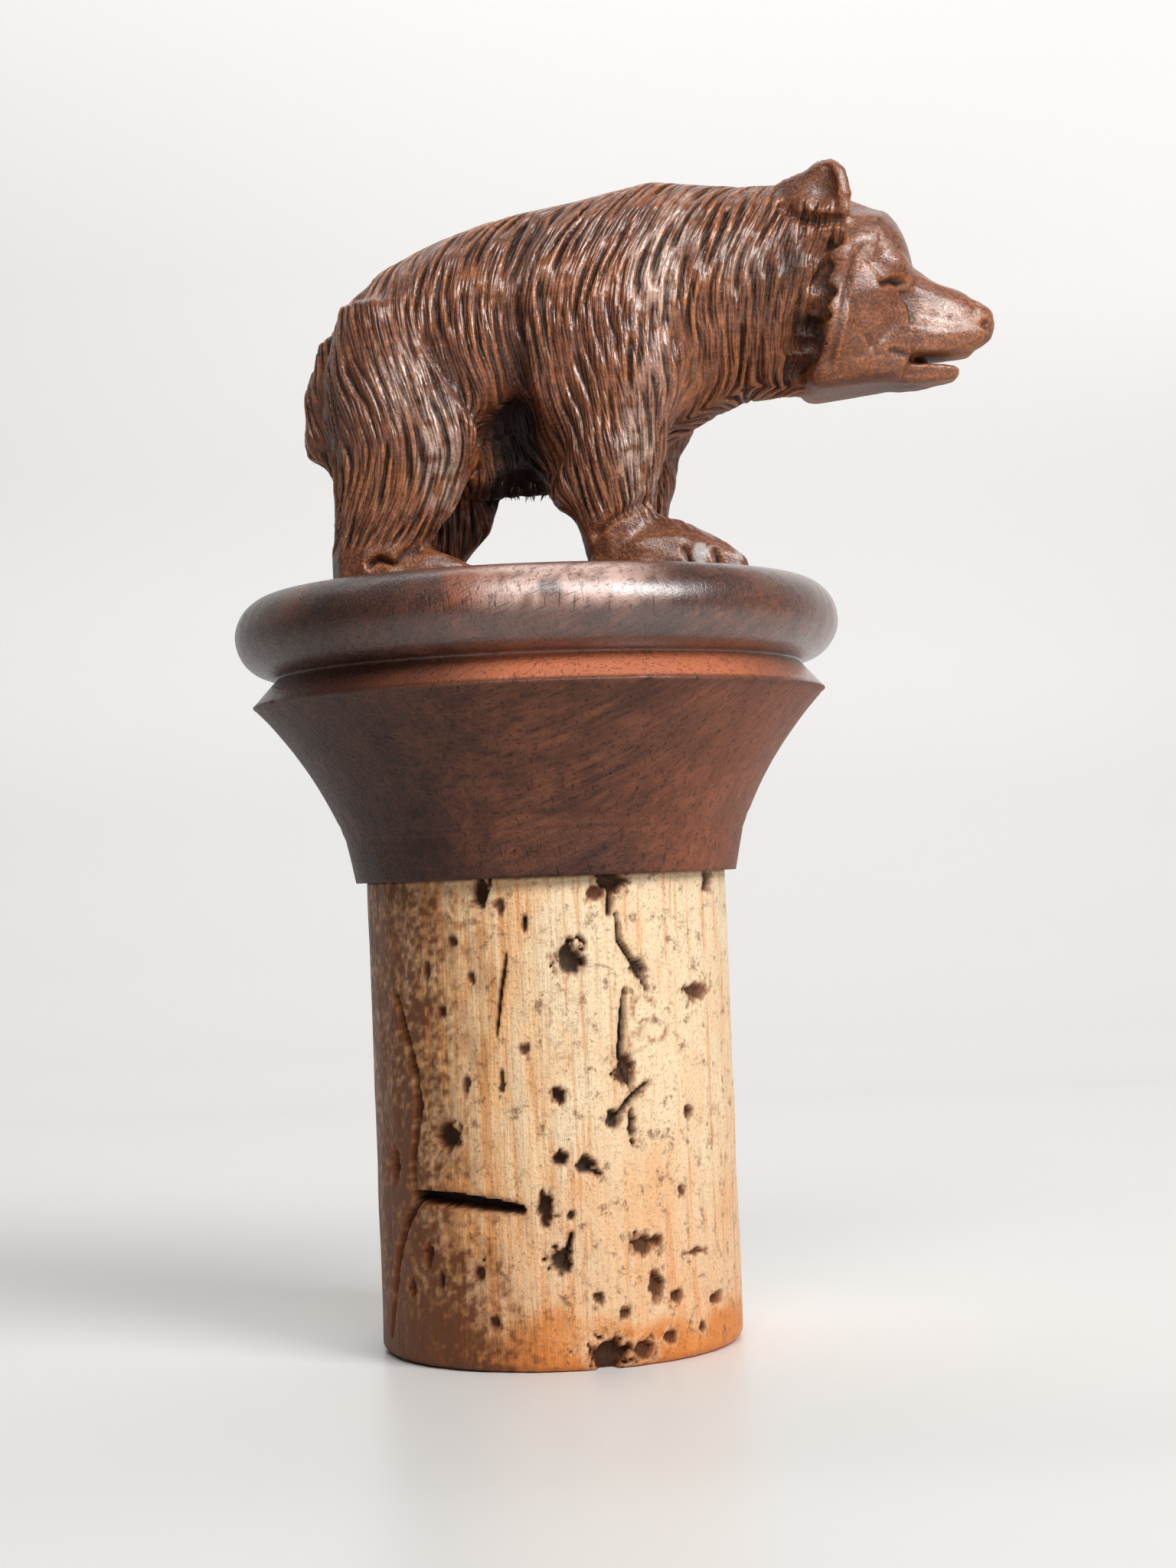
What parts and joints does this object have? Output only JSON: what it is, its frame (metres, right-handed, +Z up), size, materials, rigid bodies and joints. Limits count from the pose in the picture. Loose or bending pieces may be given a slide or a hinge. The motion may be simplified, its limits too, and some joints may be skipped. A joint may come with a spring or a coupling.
{
  "type": "wooden bottle stopper",
  "caption": "Bottle stopper: a walking bear carved in wood stands on a turned wooden cap whose spigot is glued into a natural cork.",
  "frame": {"origin": "centre of the cork's flat foot", "axes": "+Z up along the cork's and the cap's axis, +X the way the bear faces, -Y the side that the picture shows"},
  "size_m": [0.043, 0.0334, 0.0646],
  "materials": {
    "bear_wood": "carved, stained walnut brown, waxed",
    "cap_wood": "turned, stained dark red-brown, polished",
    "cork_bark": "natural cork with pits and cracks",
    "peg_wood": "plain birch dowel"
  },
  "bodies": {
    "root": {"carved_bear": "bear_wood", "turned_cap": "cap_wood", "cork": "cork_bark", "fore_peg": "peg_wood", "hind_peg": "peg_wood"}
  },
  "joints": []
}
